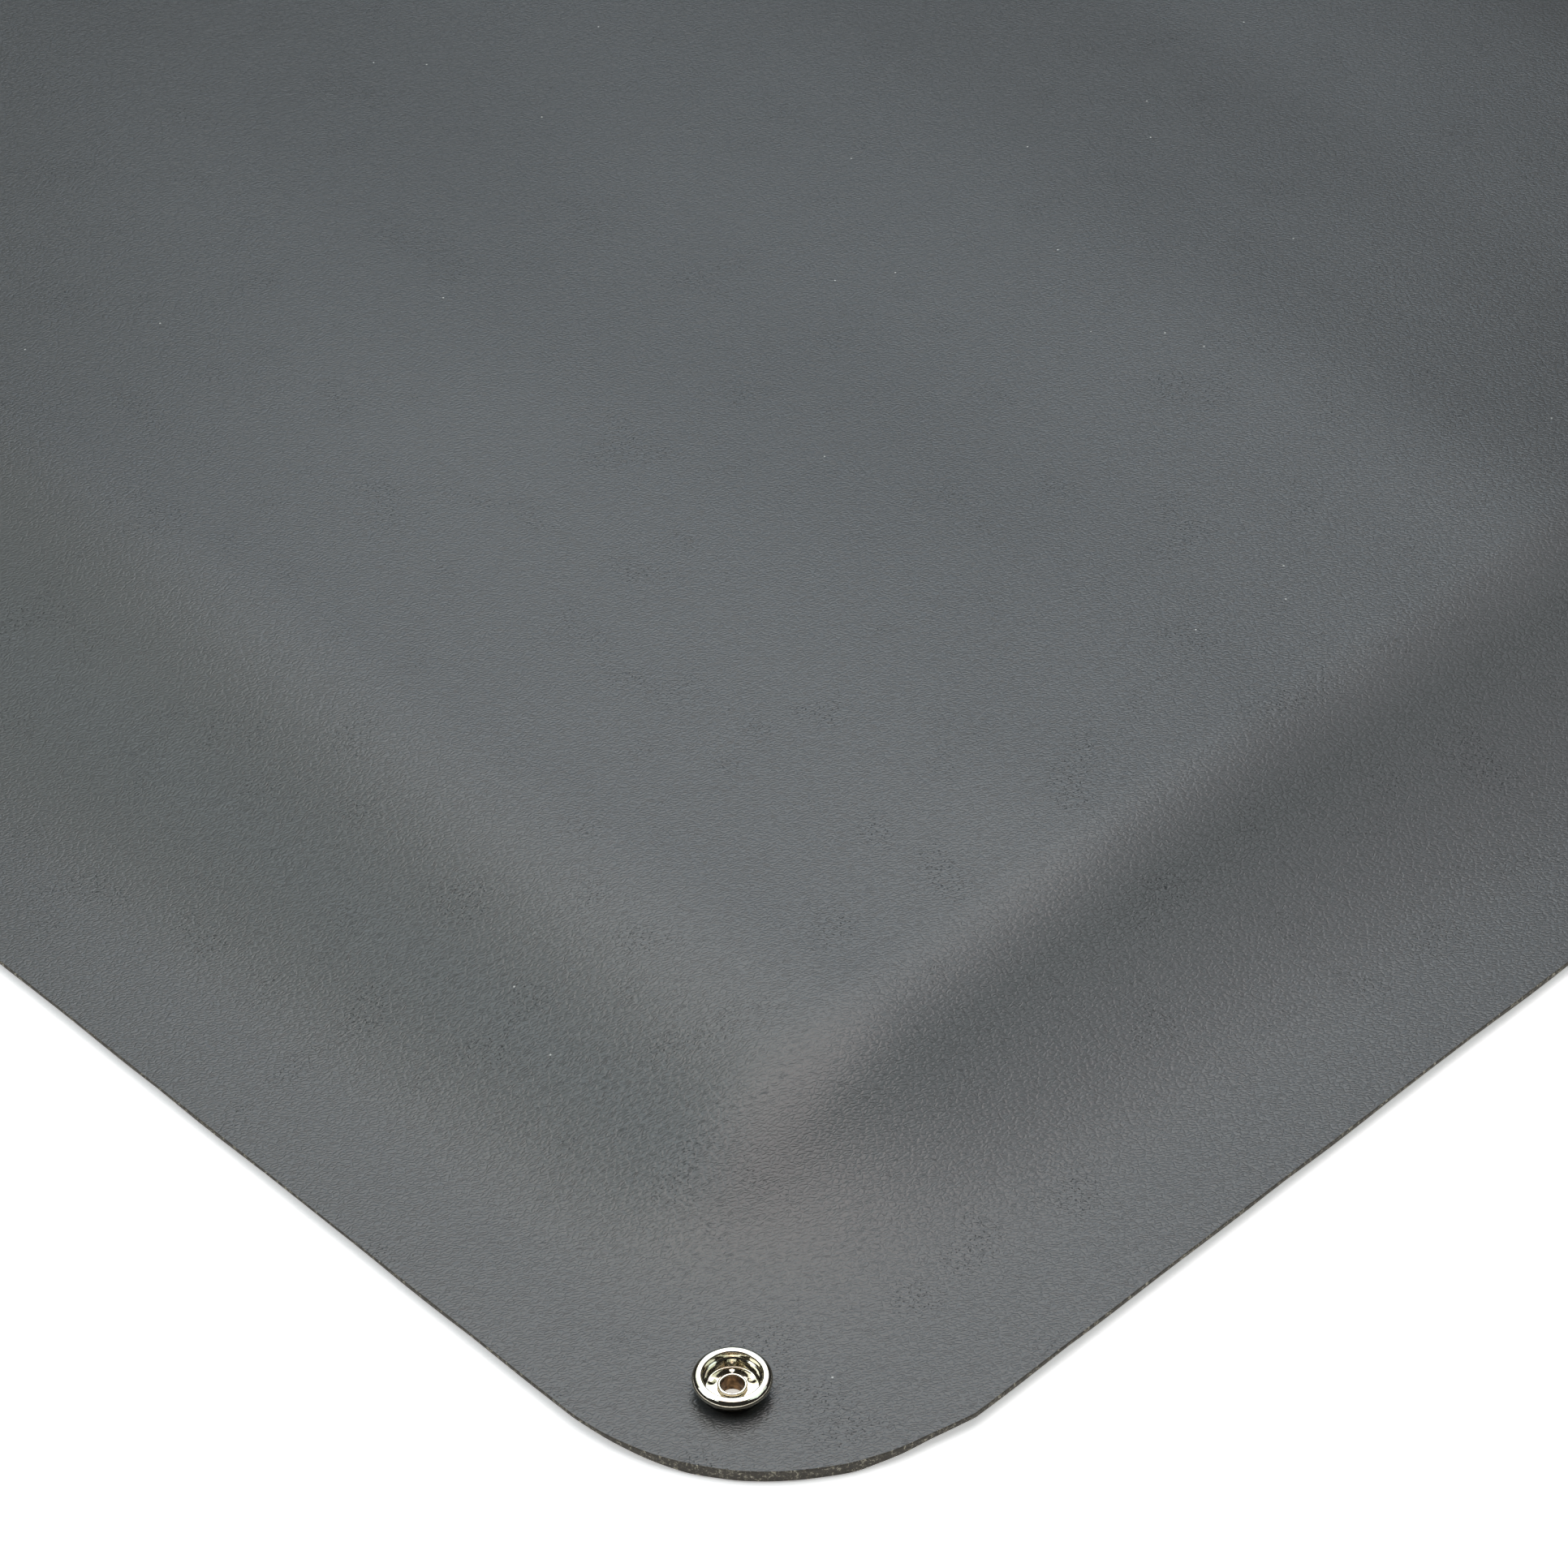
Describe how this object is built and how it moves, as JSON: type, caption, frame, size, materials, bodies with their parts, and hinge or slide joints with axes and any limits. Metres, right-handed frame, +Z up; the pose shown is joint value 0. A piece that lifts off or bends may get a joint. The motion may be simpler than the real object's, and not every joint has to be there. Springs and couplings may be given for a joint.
{
  "type": "anti-static anti-fatigue floor mat",
  "caption": "Cushioned vinyl floor mat with low bevelled borders, round corners and a grounding snap stud set in the flat border near a corner.",
  "frame": {"origin": "underside of the mat, at the middle of its length and width", "axes": "+X along the long sides, +Y across the mat, +Z up; the snap is in the corner at +X and -Y"},
  "size_m": [0.9144, 0.6096, 0.0127],
  "materials": {
    "grey_vinyl": "cushioned vinyl with a fine pressed leather grain, satin sheen",
    "nickel_plate": "bright nickel plate on drawn brass"
  },
  "bodies": {
    "root": {"cushion_mat": "grey_vinyl", "snap_stud": "nickel_plate", "snap_rivet": "nickel_plate"}
  },
  "joints": []
}
